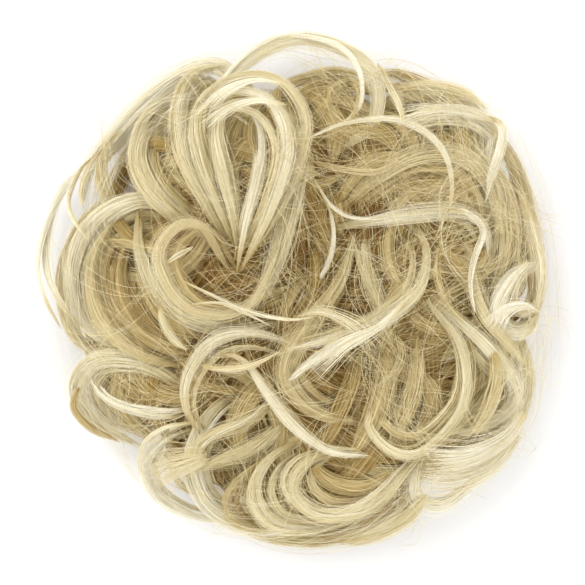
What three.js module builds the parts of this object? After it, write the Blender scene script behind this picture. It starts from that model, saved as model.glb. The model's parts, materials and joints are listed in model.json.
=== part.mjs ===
// A messy-bun scrunchie: loops of blond hair sewn round an elastic ring, lying crown upwards on a table.
// Millimetres, +Z up. The flat underside is at z = 0 and the hollow that takes the bun opens downwards.
import * as THREE from "three";

// The hair as a whole. Every plan position in the tables below is a share of HAIR_RADIUS.
const HAIR_RADIUS = 75;
const BED_CREST_HEIGHT = 28;
const WIDEST_LOCK = 9;

// The elastic ring, and the sewn weft that wraps round its outer side.
const ELASTIC_MEAN_RADIUS = 28;
const ELASTIC_THICKNESS = 6;
const WEFT_WALL = 2;
const WEFT_LIP_THICKNESS = 1;
const WEFT_LIP_DEPTH = 4.5;

// The hollow in the under-hair: clear of the weft below, then a shoulder and a dome over the bun. The foot is
// the least width of under-hair that stands on the table round it, and the cover is the hair over the dome.
const HOLLOW_WALL_RISE = 5.5;
const HOLLOW_DOME_RISE = 3.5;
const HOLLOW_SHOULDER_WIDTH = 12;
const BED_FOOT_WIDTH = 4;
const BED_COVER_THICKNESS = 5;

// Gathers of the under-hair, which swirl as they run outwards.
const GATHER_COUNT = 14;
const GATHER_DEPTH = 1.7;
const GATHER_SWIRL = 1.6;

// Curls: how thick a lock is for its width, and how high a full loop arches off the hair below it.
const LOCK_THICKNESS_SHARE = 0.55;
const LOOP_ARCH_HEIGHT = 13;
const LOCK_STIFFNESS_REACH = 9;
const MAX_LOCK_TILT = 0.55;

// Fits: the gap between pieces, the least height of loose hair over the table, and the height at which
// a springy curl leaves the edge of the under-hair.
const FIT_GAP = 0.3;
const TABLE_CLEARANCE = 1.6;
const RIM_SPRING_HEIGHT = 11;
const RIM_SPRING_REACH = 40;

// Fineness of the meshes, of the steps in which a curl's height is worked out, and of the height map that the
// curls are laid on.
const RING_SEGMENTS = 40;
const ELASTIC_SIDES = 8;
const BED_SEGMENTS = 56;
const LOCK_RINGS = 14;
const LOCK_SIDES = 6;
const STEPS_PER_RING = 5;
const MAP_CELL = 0.25;

// Outline of the under-hair from above: its reach, as a share of HAIR_RADIUS, at bearings that go round
// anticlockwise from the right in equal steps.
const BED_REACH = [
  { side: "right", reach: 0.8 },
  { side: "right shoulder", reach: 0.81 },
  { side: "upper right", reach: 0.83 },
  { side: "top right", reach: 0.75 },
  { side: "top", reach: 0.69 },
  { side: "top left", reach: 0.76 },
  { side: "upper left", reach: 0.75 },
  { side: "left shoulder", reach: 0.71 },
  { side: "left", reach: 0.76 },
  { side: "left flank", reach: 0.83 },
  { side: "lower left", reach: 0.8 },
  { side: "bottom left", reach: 0.82 },
  { side: "bottom", reach: 0.87 },
  { side: "bottom right", reach: 0.86 },
  { side: "lower right", reach: 0.84 },
  { side: "right flank", reach: 0.81 },
];

// Section of the under-hair: up its flank from the table, then over the crest to the middle. across is a
// share of the reach at that bearing, up a share of BED_CREST_HEIGHT.
const BED_FLANK = [
  { across: 0.76, up: 0 },
  { across: 0.88, up: 0.07 },
  { across: 0.96, up: 0.2 },
  { across: 1, up: 0.38 },
  { across: 0.98, up: 0.57 },
];
const BED_CROWN = [
  { across: 0.91, up: 0.76 },
  { across: 0.79, up: 0.92 },
  { across: 0.63, up: 1 },
  { across: 0.46, up: 0.98 },
  { across: 0.24, up: 0.9 },
];

// The curls in the order in which they are laid. Each runs through six stations, from its root to its tip,
// given from above as shares of HAIR_RADIUS. width is a share of WIDEST_LOCK, lift a share of
// LOOP_ARCH_HEIGHT, and tone goes from 0, golden brown in the shade, to 1, pale blond on top.
const RIM_CURLS = [
  {
    root: [-0.13, 0.64], rise: [-0.35, 0.84], crest: [-0.56, 0.745],
    fall: [-0.71, 0.6], tail: [-0.82, 0.47], tip: [-0.86, 0.31], width: 0.85, lift: 0.15, tone: 0.85,
  },
  {
    root: [-0.62, 0.36], rise: [-0.8, 0.29], crest: [-0.905, 0.1],
    fall: [-0.91, -0.07], tail: [-0.86, -0.19], tip: [-0.75, -0.27], width: 0.75, lift: 0.1, tone: 0.75,
  },
  {
    root: [-0.7, 0.6], rise: [-0.755, 0.53], crest: [-0.77, 0.45],
    fall: [-0.75, 0.37], tail: [-0.71, 0.31], tip: [-0.65, 0.27], width: 0.45, lift: 0.2, tone: 0.6,
  },
  {
    root: [-0.44, 0.25], rise: [-0.6, 0.325], crest: [-0.79, 0.235],
    fall: [-0.865, 0.03], tail: [-0.82, -0.13], tip: [-0.68, -0.24], width: 1, lift: 0.3, tone: 0.8,
  },
  {
    root: [-0.83, 0.47], rise: [-0.92, 0.39], crest: [-0.975, 0.24],
    fall: [-0.97, 0.1], tail: [-0.92, -0.03], tip: [-0.82, -0.16], width: 0.3, lift: 0.2, tone: 0.9,
  },
  {
    root: [-0.42, -0.38], rise: [-0.6, -0.275], crest: [-0.78, -0.27],
    fall: [-0.855, -0.38], tail: [-0.79, -0.5], tip: [-0.62, -0.6], width: 0.8, lift: 0.2, tone: 0.75,
  },
  {
    root: [-0.36, -0.47], rise: [-0.5, -0.515], crest: [-0.6, -0.63],
    fall: [-0.575, -0.755], tail: [-0.45, -0.845], tip: [-0.28, -0.89], width: 0.65, lift: 0.15, tone: 0.85,
  },
  {
    root: [-0.43, -0.7], rise: [-0.24, -0.885], crest: [0.02, -0.935],
    fall: [0.23, -0.885], tail: [0.37, -0.78], tip: [0.42, -0.62], width: 0.8, lift: 0.1, tone: 0.8,
  },
  {
    root: [0.74, -0.1], rise: [0.8, -0.22], crest: [0.82, -0.36],
    fall: [0.785, -0.5], tail: [0.7, -0.61], tip: [0.56, -0.68], width: 0.7, lift: 0.1, tone: 0.7,
  },
  {
    root: [0.4, -0.58], rise: [0.5, -0.635], crest: [0.6, -0.64],
    fall: [0.69, -0.6], tail: [0.75, -0.52], tip: [0.78, -0.42], width: 0.9, lift: 0.05, tone: 0.9,
  },
  {
    root: [0.45, -0.56], rise: [0.395, -0.66], crest: [0.4, -0.76],
    fall: [0.48, -0.79], tail: [0.58, -0.735], tip: [0.68, -0.65], width: 0.55, lift: 0.2, tone: 0.95,
  },
  {
    root: [0.22, 0.63], rise: [0.33, 0.71], crest: [0.47, 0.725],
    fall: [0.6, 0.69], tail: [0.68, 0.61], tip: [0.71, 0.49], width: 0.75, lift: 0.05, tone: 0.55,
  },
  {
    root: [0.28, 0.56], rise: [0.42, 0.63], crest: [0.57, 0.645],
    fall: [0.685, 0.58], tail: [0.665, 0.44], tip: [0.62, 0.28], width: 0.7, lift: 0.3, tone: 0.85,
  },
  {
    root: [0.66, 0.6], rise: [0.75, 0.47], crest: [0.82, 0.28],
    fall: [0.855, 0.09], tail: [0.835, -0.08], tip: [0.74, -0.2], width: 0.85, lift: 0.1, tone: 0.75,
  },
  {
    root: [0.6, 0.52], rise: [0.68, 0.42], crest: [0.73, 0.28],
    fall: [0.735, 0.13], tail: [0.695, 0], tip: [0.64, -0.12], width: 0.85, lift: 0.15, tone: 0.6,
  },
  {
    root: [0.86, 0.1], rise: [0.755, 0.06], crest: [0.69, -0.04],
    fall: [0.71, -0.15], tail: [0.8, -0.155], tip: [0.86, -0.05], width: 0.6, lift: 0.3, tone: 0.9,
  },
  {
    root: [-0.38, 0.6], rise: [-0.27, 0.79], crest: [-0.02, 0.935],
    fall: [0.22, 0.82], tail: [0.24, 0.61], tip: [0.02, 0.47], width: 0.6, lift: 0.55, tone: 0.8,
  },
];

const SIDE_CURLS = [
  {
    root: [-0.8, -0.33], rise: [-0.765, -0.385], crest: [-0.7, -0.425],
    fall: [-0.62, -0.45], tail: [-0.54, -0.465], tip: [-0.44, -0.46], width: 0.5, lift: 0.15, tone: 0.9,
  },
  {
    root: [-0.72, 0.24], rise: [-0.78, 0.12], crest: [-0.775, -0.03],
    fall: [-0.71, -0.15], tail: [-0.6, -0.23], tip: [-0.46, -0.28], width: 0.85, lift: 0.1, tone: 0.65,
  },
  {
    root: [-0.64, 0.22], rise: [-0.69, 0.08], crest: [-0.67, -0.05],
    fall: [-0.6, -0.15], tail: [-0.51, -0.21], tip: [-0.4, -0.24], width: 0.8, lift: 0.1, tone: 0.45,
  },
  {
    root: [-0.47, 0.74], rise: [-0.585, 0.65], crest: [-0.625, 0.5],
    fall: [-0.58, 0.37], tail: [-0.48, 0.27], tip: [-0.34, 0.19], width: 0.9, lift: 0.25, tone: 0.65,
  },
  {
    root: [-0.31, 0.83], rise: [-0.42, 0.8], crest: [-0.475, 0.66],
    fall: [-0.45, 0.48], tail: [-0.37, 0.32], tip: [-0.27, 0.14], width: 0.8, lift: 0.3, tone: 0.7,
  },
  {
    root: [-0.26, 0.76], rise: [-0.36, 0.71], crest: [-0.4, 0.59],
    fall: [-0.37, 0.44], tail: [-0.31, 0.29], tip: [-0.25, 0.13], width: 0.7, lift: 0.2, tone: 0.6,
  },
  {
    root: [-0.22, 0.7], rise: [-0.3, 0.66], crest: [-0.325, 0.57],
    fall: [-0.3, 0.43], tail: [-0.265, 0.28], tip: [-0.24, 0.12], width: 0.6, lift: 0.15, tone: 0.6,
  },
  {
    root: [-0.62, 0.3], rise: [-0.61, 0.12], crest: [-0.53, -0.04],
    fall: [-0.4, -0.125], tail: [-0.26, -0.15], tip: [-0.12, -0.12], width: 0.65, lift: 0.15, tone: 0.75,
  },
  {
    root: [-0.24, -0.36], rise: [-0.36, -0.46], crest: [-0.425, -0.62],
    fall: [-0.385, -0.78], tail: [-0.25, -0.885], tip: [-0.06, -0.92], width: 0.8, lift: 0.35, tone: 0.9,
  },
  {
    root: [-0.4, -0.66], rise: [-0.34, -0.63], crest: [-0.26, -0.6],
    fall: [-0.18, -0.565], tail: [-0.11, -0.51], tip: [-0.05, -0.44], width: 0.75, lift: 0.05, tone: 0.6,
  },
  {
    root: [-0.1, -0.35], rise: [-0.155, -0.43], crest: [-0.24, -0.485],
    fall: [-0.33, -0.515], tail: [-0.4, -0.56], tip: [-0.44, -0.64], width: 0.5, lift: 0.15, tone: 0.7,
  },
  {
    root: [-0.12, -0.6], rise: [-0.22, -0.665], crest: [-0.295, -0.755],
    fall: [-0.28, -0.84], tail: [-0.18, -0.88], tip: [-0.05, -0.875], width: 0.55, lift: 0.15, tone: 0.8,
  },
  {
    root: [0, -0.545], rise: [-0.13, -0.605], crest: [-0.19, -0.72],
    fall: [-0.145, -0.83], tail: [0, -0.88], tip: [0.18, -0.86], width: 0.7, lift: 0.25, tone: 0.85,
  },
  {
    root: [0.36, -0.28], rise: [0.43, -0.34], crest: [0.455, -0.42],
    fall: [0.43, -0.5], tail: [0.36, -0.555], tip: [0.27, -0.56], width: 0.8, lift: 0.05, tone: 0.35,
  },
  {
    root: [0.4, 0.01], rise: [0.53, -0.1], crest: [0.68, -0.245],
    fall: [0.765, -0.39], tail: [0.68, -0.485], tip: [0.49, -0.545], width: 0.65, lift: 0.3, tone: 0.85,
  },
  {
    root: [0.58, 0.24], rise: [0.585, 0.12], crest: [0.6, 0],
    fall: [0.645, -0.11], tail: [0.72, -0.2], tip: [0.79, -0.28], width: 0.55, lift: 0.15, tone: 0.8,
  },
  {
    root: [0.15, 0.27], rise: [0.27, 0.355], crest: [0.4, 0.405],
    fall: [0.52, 0.4], tail: [0.6, 0.34], tip: [0.63, 0.22], width: 0.85, lift: 0.05, tone: 0.45,
  },
  {
    root: [0.1, 0.27], rise: [0.22, 0.39], crest: [0.4, 0.485],
    fall: [0.56, 0.475], tail: [0.66, 0.37], tip: [0.7, 0.19], width: 0.85, lift: 0.3, tone: 0.75,
  },
  {
    root: [0.2, 0.22], rise: [0.205, 0.13], crest: [0.22, 0.04],
    fall: [0.25, -0.04], tail: [0.3, -0.11], tip: [0.38, -0.17], width: 0.6, lift: 0.1, tone: 0.55,
  },
  {
    root: [-0.2, -0.09], rise: [-0.145, 0.03], crest: [-0.1, 0.15],
    fall: [-0.065, 0.27], tail: [-0.03, 0.4], tip: [0, 0.53], width: 0.85, lift: 0.15, tone: 0.65,
  },
  {
    root: [0.16, -0.585], rise: [0, -0.62], crest: [-0.06, -0.72],
    fall: [0.03, -0.815], tail: [0.22, -0.8], tip: [0.41, -0.61], width: 0.85, lift: 0.3, tone: 0.9,
  },
];

const CROWN_CURLS = [
  {
    root: [-0.05, -0.2], rise: [-0.2, -0.16], crest: [-0.34, -0.19],
    fall: [-0.435, -0.32], tail: [-0.44, -0.42], tip: [-0.39, -0.53], width: 0.55, lift: 0.25, tone: 0.9,
  },
  {
    root: [-0.34, -0.23], rise: [-0.24, -0.25], crest: [-0.15, -0.37],
    fall: [-0.04, -0.5], tail: [0.08, -0.585], tip: [0.22, -0.6], width: 0.4, lift: 0.35, tone: 1,
  },
  {
    root: [-0.27, 0.03], rise: [-0.41, 0.24], crest: [-0.535, 0.14],
    fall: [-0.44, -0.06], tail: [-0.23, -0.07], tip: [-0.1, 0.16], width: 0.7, lift: 0.4, tone: 0.8,
  },
  {
    root: [-0.42, 0.66], rise: [-0.3, 0.755], crest: [-0.12, 0.765],
    fall: [-0.01, 0.61], tail: [-0.07, 0.35], tip: [-0.22, 0.1], width: 0.5, lift: 0.45, tone: 0.8,
  },
  {
    root: [-0.27, 0.68], rise: [-0.195, 0.63], crest: [-0.165, 0.52],
    fall: [-0.185, 0.37], tail: [-0.225, 0.22], tip: [-0.26, 0.05], width: 0.4, lift: 0.2, tone: 0.9,
  },
  {
    root: [-0.41, 0.62], rise: [-0.3, 0.705], crest: [-0.15, 0.68],
    fall: [-0.075, 0.52], tail: [-0.13, 0.3], tip: [-0.245, 0.06], width: 0.6, lift: 0.5, tone: 1,
  },
  {
    root: [0.17, 0.22], rise: [0.12, 0.04], crest: [-0.01, -0.14],
    fall: [-0.085, -0.3], tail: [0.02, -0.44], tip: [0.25, -0.49], width: 0.85, lift: 0.25, tone: 0.8,
  },
  {
    root: [0.4, -0.03], rise: [0.28, -0.12], crest: [0.18, -0.17],
    fall: [0.09, -0.215], tail: [0.01, -0.26], tip: [-0.07, -0.33], width: 0.6, lift: 0.15, tone: 0.9,
  },
  {
    root: [0.34, 0.26], rise: [0.42, 0.17], crest: [0.4, 0.01],
    fall: [0.25, -0.115], tail: [0.08, -0.18], tip: [-0.08, -0.22], width: 0.55, lift: 0.35, tone: 0.85,
  },
  {
    root: [0.06, 0.215], rise: [0.2, 0.24], crest: [0.4, 0.27],
    fall: [0.56, 0.275], tail: [0.64, 0.22], tip: [0.66, 0.09], width: 0.65, lift: 0.3, tone: 0.95,
  },
  {
    root: [-0.01, 0.53], rise: [0.13, 0.59], crest: [0.33, 0.6],
    fall: [0.47, 0.5], tail: [0.51, 0.33], tip: [0.45, 0.17], width: 0.35, lift: 0.35, tone: 0.95,
  },
  {
    root: [0.42, -0.03], rise: [0.545, -0.2], crest: [0.555, -0.42],
    fall: [0.36, -0.6], tail: [0.215, -0.49], tip: [0.34, -0.3], width: 0.6, lift: 0.45, tone: 0.9,
  },
  {
    root: [0.05, 0.35], rise: [0.085, 0.26], crest: [0.09, 0.17],
    fall: [0.065, 0.08], tail: [0.02, 0.01], tip: [-0.04, -0.05], width: 0.3, lift: 0.3, tone: 0.95,
  },
];

// Hair colours, from the shaded depths to the pale top.
const DEEP_HAIR = new THREE.Color("#9c7a41");
const PALE_HAIR = new THREE.Color("#e6d9ac");
const BED_TONE = 0.12;
const WEFT_TONE = 0.2;
const ELASTIC_COLOUR = new THREE.Color("#b39a68");

function hairMaterial(tone) {
  const color = DEEP_HAIR.clone().lerp(PALE_HAIR, tone);
  return new THREE.MeshStandardMaterial({ color, roughness: 0.5, metalness: 0 });
}

// A closed solid from its corners and the corner numbers of its faces.
function solid(corners, faces) {
  const geometry = new THREE.BufferGeometry();
  geometry.setAttribute("position", new THREE.Float32BufferAttribute(corners.flat(), 3));
  geometry.setIndex(faces.flat());
  return geometry;
}

// The faces between two loops of corners, each loop of count corners from its first number on.
function bandFaces(first, second, count) {
  const faces = [];
  for (let k = 0; k < count; k += 1) {
    const next = (k + 1) % count;
    faces.push([first + k, first + next, second + next], [first + k, second + next, second + k]);
  }
  return faces;
}

// The faces from a loop of corners to one point.
function fanFaces(first, apex, count, outward) {
  const faces = [];
  for (let k = 0; k < count; k += 1) {
    const next = (k + 1) % count;
    faces.push(outward ? [first + k, first + next, apex] : [first + next, first + k, apex]);
  }
  return faces;
}

// A full ring with the given section of [radius, height] corners, anticlockwise in that plane.
function ringSolid(section, segments) {
  const corners = [];
  for (let j = 0; j < segments; j += 1) {
    const bearing = (2 * Math.PI * j) / segments;
    section.forEach(([radius, height]) => {
      corners.push([radius * Math.cos(bearing), radius * Math.sin(bearing), height]);
    });
  }
  const faces = [];
  for (let j = 0; j < segments; j += 1) {
    const first = j * section.length;
    const second = ((j + 1) % segments) * section.length;
    faces.push(...bandFaces(second, first, section.length));
  }
  return solid(corners, faces);
}

// Where the elastic's middle lies over the table: on the weft's lower lip, with the gap.
const ELASTIC_HEIGHT = WEFT_LIP_THICKNESS + FIT_GAP + ELASTIC_THICKNESS / 2;
const WEFT_HEIGHT = 2 * ELASTIC_HEIGHT;
const WEFT_INNER_WALL_RADIUS = ELASTIC_MEAN_RADIUS + ELASTIC_THICKNESS / 2 + FIT_GAP;
const WEFT_OUTER_RADIUS = WEFT_INNER_WALL_RADIUS + WEFT_WALL;
const HOLLOW_RADIUS = WEFT_OUTER_RADIUS + FIT_GAP;
const HOLLOW_SHOULDER_HEIGHT = WEFT_HEIGHT + FIT_GAP + HOLLOW_WALL_RISE;
const HOLLOW_HEIGHT = HOLLOW_SHOULDER_HEIGHT + HOLLOW_DOME_RISE;

function elasticBand() {
  const section = [];
  for (let k = 0; k < ELASTIC_SIDES; k += 1) {
    const angle = (2 * Math.PI * (k + 0.5)) / ELASTIC_SIDES;
    section.push([
      ELASTIC_MEAN_RADIUS + (ELASTIC_THICKNESS / 2) * Math.cos(angle),
      ELASTIC_HEIGHT + (ELASTIC_THICKNESS / 2) * Math.sin(angle),
    ]);
  }
  return ringSolid(section, RING_SEGMENTS);
}

// A C section, open towards the middle, that holds the elastic between its two lips.
function weftRing() {
  const lipRadius = WEFT_INNER_WALL_RADIUS - WEFT_LIP_DEPTH;
  const upperLip = WEFT_HEIGHT - WEFT_LIP_THICKNESS;
  return ringSolid(
    [
      [lipRadius, 0],
      [WEFT_OUTER_RADIUS, 0],
      [WEFT_OUTER_RADIUS, WEFT_HEIGHT],
      [lipRadius, WEFT_HEIGHT],
      [lipRadius, upperLip],
      [WEFT_INNER_WALL_RADIUS, upperLip],
      [WEFT_INNER_WALL_RADIUS, WEFT_LIP_THICKNESS],
      [lipRadius, WEFT_LIP_THICKNESS],
    ],
    RING_SEGMENTS,
  );
}

// Reach of the under-hair at a bearing, blended smoothly between the rows of BED_REACH.
function bedReach(bearing) {
  const count = BED_REACH.length;
  const place = (((bearing / (2 * Math.PI)) % 1) + 1) * count;
  const row = Math.floor(place);
  const part = place - row;
  const blend = part * part * (3 - 2 * part);
  const from = BED_REACH[row % count].reach;
  const to = BED_REACH[(row + 1) % count].reach;
  return HAIR_RADIUS * (from + (to - from) * blend);
}

// Height of a gather over or under the plain surface; the gathers fade out at the crown's middle.
function gather(bearing, across) {
  const fade = Math.min(1, across / 0.4);
  return GATHER_DEPTH * fade * Math.cos(GATHER_COUNT * bearing + GATHER_SWIRL * Math.PI * across);
}

// The domed doughnut of under-hair: its outer surface from the edge to the middle, then its underside
// and the walls of the hollow.
function hairBed() {
  const corners = [];
  const loop = (place) => {
    for (let j = 0; j < BED_SEGMENTS; j += 1) {
      const bearing = (2 * Math.PI * j) / BED_SEGMENTS;
      const [radius, height] = place(bearing);
      corners.push([radius * Math.cos(bearing), radius * Math.sin(bearing), height]);
    }
  };
  const surface = ({ across, up }, least) => {
    loop((bearing) => {
      const fold = up === 0 ? 0 : gather(bearing, across);
      const radius = across * bedReach(bearing) + fold * (1 - up);
      return [Math.max(least, radius), BED_CREST_HEIGHT * up + fold * up];
    });
  };
  loop(() => [HOLLOW_RADIUS - HOLLOW_SHOULDER_WIDTH, HOLLOW_SHOULDER_HEIGHT]);
  loop(() => [HOLLOW_RADIUS, WEFT_HEIGHT + FIT_GAP]);
  loop(() => [HOLLOW_RADIUS, 0]);
  BED_FLANK.forEach((row) => surface(row, HOLLOW_RADIUS + BED_FOOT_WIDTH));
  BED_CROWN.forEach((row) => surface(row, 0));
  const loops = corners.length / BED_SEGMENTS;
  const ceiling = corners.push([0, 0, HOLLOW_HEIGHT]) - 1;
  const top = corners.push([0, 0, HOLLOW_HEIGHT + BED_COVER_THICKNESS]) - 1;
  const faces = fanFaces(0, ceiling, BED_SEGMENTS, false);
  for (let i = 0; i + 1 < loops; i += 1) {
    faces.push(...bandFaces(i * BED_SEGMENTS, (i + 1) * BED_SEGMENTS, BED_SEGMENTS));
  }
  faces.push(...fanFaces((loops - 1) * BED_SEGMENTS, top, BED_SEGMENTS, true));
  return solid(corners, faces);
}

// A map of heights over the plan, on which solids are piled and against which the next one is measured.
class HeightMap {
  constructor(reach, floorHeight) {
    this.reach = reach;
    this.count = Math.ceil((2 * reach) / MAP_CELL);
    this.heights = new Float64Array(this.count * this.count).fill(floorHeight);
  }

  cell(x) {
    const place = Math.floor((x + this.reach) / MAP_CELL);
    return Math.min(this.count - 1, Math.max(0, place));
  }

  middle(index) {
    return (index + 0.5) * MAP_CELL - this.reach;
  }

  at(x, y) {
    return this.heights[this.cell(y) * this.count + this.cell(x)];
  }

  // Calls visit(cell number, lowest height, greatest height) for each cell that a face covers or touches.
  overFace(a, b, c, visit) {
    const low = Math.min(a[2], b[2], c[2]);
    const high = Math.max(a[2], b[2], c[2]);
    const turn = (b[0] - a[0]) * (c[1] - a[1]) - (b[1] - a[1]) * (c[0] - a[0]);
    const steep = Math.abs(turn) < 1e-6;
    const edges = steep ? [] : [[a, b], [b, c], [c, a]];
    const slopeX = steep ? 0 : ((b[2] - a[2]) * (c[1] - a[1]) - (c[2] - a[2]) * (b[1] - a[1])) / turn;
    const slopeY = steep ? 0 : ((c[2] - a[2]) * (b[0] - a[0]) - (b[2] - a[2]) * (c[0] - a[0])) / turn;
    const spread = (Math.abs(slopeX) + Math.abs(slopeY)) * (MAP_CELL / 2);
    const firstRow = this.cell(Math.min(a[1], b[1], c[1]));
    const lastRow = this.cell(Math.max(a[1], b[1], c[1]));
    const firstColumn = this.cell(Math.min(a[0], b[0], c[0]));
    const lastColumn = this.cell(Math.max(a[0], b[0], c[0]));
    for (let row = firstRow; row <= lastRow; row += 1) {
      const y = this.middle(row);
      for (let column = firstColumn; column <= lastColumn; column += 1) {
        const x = this.middle(column);
        const touches = edges.every(([p, q]) => {
          const runX = q[0] - p[0];
          const runY = q[1] - p[1];
          const side = Math.sign(turn) * (runX * (y - p[1]) - runY * (x - p[0]));
          return side >= -(Math.abs(runX) + Math.abs(runY)) * (MAP_CELL / 2);
        });
        if (touches) {
          const height = a[2] + slopeX * (x - a[0]) + slopeY * (y - a[1]);
          const least = steep ? low : Math.min(high, Math.max(low, height - spread));
          const most = steep ? high : Math.max(low, Math.min(high, height + spread));
          visit(row * this.count + column, least, most);
        }
      }
    }
  }

  overSolid(geometry, visit) {
    const place = geometry.getAttribute("position");
    const index = geometry.getIndex();
    const corner = (k) => {
      const n = index.getX(k);
      return [place.getX(n), place.getY(n), place.getZ(n)];
    };
    for (let k = 0; k < index.count; k += 3) {
      this.overFace(corner(k), corner(k + 1), corner(k + 2), visit);
    }
  }

  // Raises the map to the top of a solid.
  pile(geometry) {
    this.overSolid(geometry, (cell, least, most) => {
      this.heights[cell] = Math.max(this.heights[cell], most);
    });
  }

  // The least height of a solid over the map, less than zero where it would sink in.
  room(geometry) {
    let room = Infinity;
    this.overSolid(geometry, (cell, least) => {
      room = Math.min(room, least - this.heights[cell]);
    });
    return room;
  }
}

// What a curl rests on, and the higher slope that its own spring holds it to outside the under-hair.
const MAP_REACH = 1.3 * HAIR_RADIUS;
const pileMap = new HeightMap(MAP_REACH, TABLE_CLEARANCE - FIT_GAP);
const springMap = new HeightMap(MAP_REACH, 0);

function fillSpringMap() {
  const { count, heights } = springMap;
  for (let row = 0; row < count; row += 1) {
    for (let column = 0; column < count; column += 1) {
      const x = springMap.middle(column);
      const y = springMap.middle(row);
      const beyond = Math.hypot(x, y) - bedReach(Math.atan2(y, x));
      heights[row * count + column] = RIM_SPRING_HEIGHT * (1 - Math.max(0, beyond) / RIM_SPRING_REACH);
    }
  }
}

// Each value replaced by what pick makes of its neighbours within reach places either way.
function spreadOut(values, reach, pick) {
  return values.map((_, i) => pick(values.slice(Math.max(0, i - reach), i + reach + 1)));
}

function mean(values) {
  return values.reduce((sum, value) => sum + value, 0) / values.length;
}

// How full a lock is along its length: pointed at both ends and nearly even between.
function fullness(along) {
  return Math.sin(Math.PI * along) ** 0.42;
}

// A curl laid on the pile: its plan follows the stations, and its height what lies below, smoothed by the
// lock's stiffness, with the loop's own arch on top.
function curl(row) {
  const stations = [row.root, row.rise, row.crest, row.fall, row.tail, row.tip];
  const route = new THREE.CatmullRomCurve3(
    stations.map(([x, y]) => new THREE.Vector3(x * HAIR_RADIUS, y * HAIR_RADIUS, 0)),
    false,
    "centripetal",
  );
  const steps = STEPS_PER_RING * (LOCK_RINGS + 1);
  const spacing = route.getLength() / steps;
  const halfWidth = (row.width * WIDEST_LOCK) / 2;
  const halfThickness = halfWidth * LOCK_THICKNESS_SHARE;
  const places = route.getSpacedPoints(steps).map((point, i) => {
    const along = route.getTangentAt(i / steps);
    const side = [-along.y, along.x];
    const full = Math.max(0.15, fullness(i / steps));
    return { x: point.x, y: point.y, side, half: halfWidth * full, thick: halfThickness * full };
  });
  const below = (place, share) => {
    const x = place.x + place.side[0] * place.half * share;
    const y = place.y + place.side[1] * place.half * share;
    return Math.max(pileMap.at(x, y), springMap.at(x, y));
  };
  const reach = Math.max(1, Math.round(LOCK_STIFFNESS_REACH / spacing));
  const slopes = places.map((place) => {
    const slope = (below(place, 0.9) - below(place, -0.9)) / (1.8 * place.half);
    return Math.max(-MAX_LOCK_TILT, Math.min(MAX_LOCK_TILT, slope));
  });
  const tilts = spreadOut(slopes, reach, mean);
  const needed = places.map((place, i) => {
    const heights = [-0.9, -0.6, -0.3, 0, 0.3, 0.6, 0.9].map((share) => {
      const rounding = place.thick * Math.sqrt(1 - share * share);
      return below(place, share) - tilts[i] * place.half * share + rounding;
    });
    return Math.max(...heights);
  });
  const held = spreadOut(needed, reach, (near) => Math.max(...near));
  const smooth = spreadOut(spreadOut(held, reach, mean), Math.ceil(reach / 2), mean);

  const corners = [];
  const end = (i) => corners.push([places[i].x, places[i].y, smooth[i]]) - 1;
  const root = end(0);
  for (let ring = 1; ring <= LOCK_RINGS; ring += 1) {
    const i = ring * STEPS_PER_RING;
    const along = i / steps;
    const place = places[i];
    const height = smooth[i] + row.lift * LOOP_ARCH_HEIGHT * Math.sin(Math.PI * along) ** 1.5;
    const half = halfWidth * fullness(along);
    const thick = halfThickness * fullness(along);
    for (let k = 0; k < LOCK_SIDES; k += 1) {
      const angle = (2 * Math.PI * k) / LOCK_SIDES;
      const out = half * Math.cos(angle);
      const up = thick * Math.sin(angle) + tilts[i] * out;
      corners.push([place.x + place.side[0] * out, place.y + place.side[1] * out, height + up]);
    }
  }
  const tip = end(steps);
  const faces = fanFaces(1, root, LOCK_SIDES, false);
  for (let ring = 0; ring + 1 < LOCK_RINGS; ring += 1) {
    faces.push(...bandFaces(1 + ring * LOCK_SIDES, 1 + (ring + 1) * LOCK_SIDES, LOCK_SIDES));
  }
  faces.push(...fanFaces(1 + (LOCK_RINGS - 1) * LOCK_SIDES, tip, LOCK_SIDES, true));
  const geometry = solid(corners, faces);
  geometry.translate(0, 0, FIT_GAP - pileMap.room(geometry));
  pileMap.pile(geometry);
  return geometry;
}

const hairpiece = new THREE.Group();

function add(name, geometry, material) {
  geometry.computeVertexNormals();
  const mesh = new THREE.Mesh(geometry, material);
  mesh.name = name;
  hairpiece.add(mesh);
}

const elasticMaterial = new THREE.MeshStandardMaterial({
  color: ELASTIC_COLOUR,
  roughness: 0.8,
  metalness: 0,
});
add("elastic_band", elasticBand(), elasticMaterial);
add("weft_ring", weftRing(), hairMaterial(WEFT_TONE));

const bed = hairBed();
add("hair_bed", bed, hairMaterial(BED_TONE));
pileMap.pile(bed);
fillSpringMap();

const tiers = { rim: RIM_CURLS, side: SIDE_CURLS, crown: CROWN_CURLS };
Object.entries(tiers).forEach(([tier, rows]) => {
  rows.forEach((row, i) => {
    add(`${tier}_curl_${String(i + 1).padStart(2, "0")}`, curl(row), hairMaterial(row.tone));
  });
});

// The middle of the whole outline goes over the origin.
const box = new THREE.Box3().setFromObject(hairpiece);
const middle = box.getCenter(new THREE.Vector3());
hairpiece.children.forEach((mesh) => mesh.geometry.translate(-middle.x, -middle.y, 0));

export default hairpiece;
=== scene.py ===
"""The looks of a messy-bun scrunchie. Each curl of the solid model becomes a grooved core with strands and fine
fibres round it. Under the curls lies a mass of under-hair, painted darker as the shade of the depths, and over
them loose wisps and fibres.
Lengths are in metres, and those in millimetres are written times MM."""

import json
import math

import bpy
import numpy as np
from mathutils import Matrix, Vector
from mathutils.bvhtree import BVHTree


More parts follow.
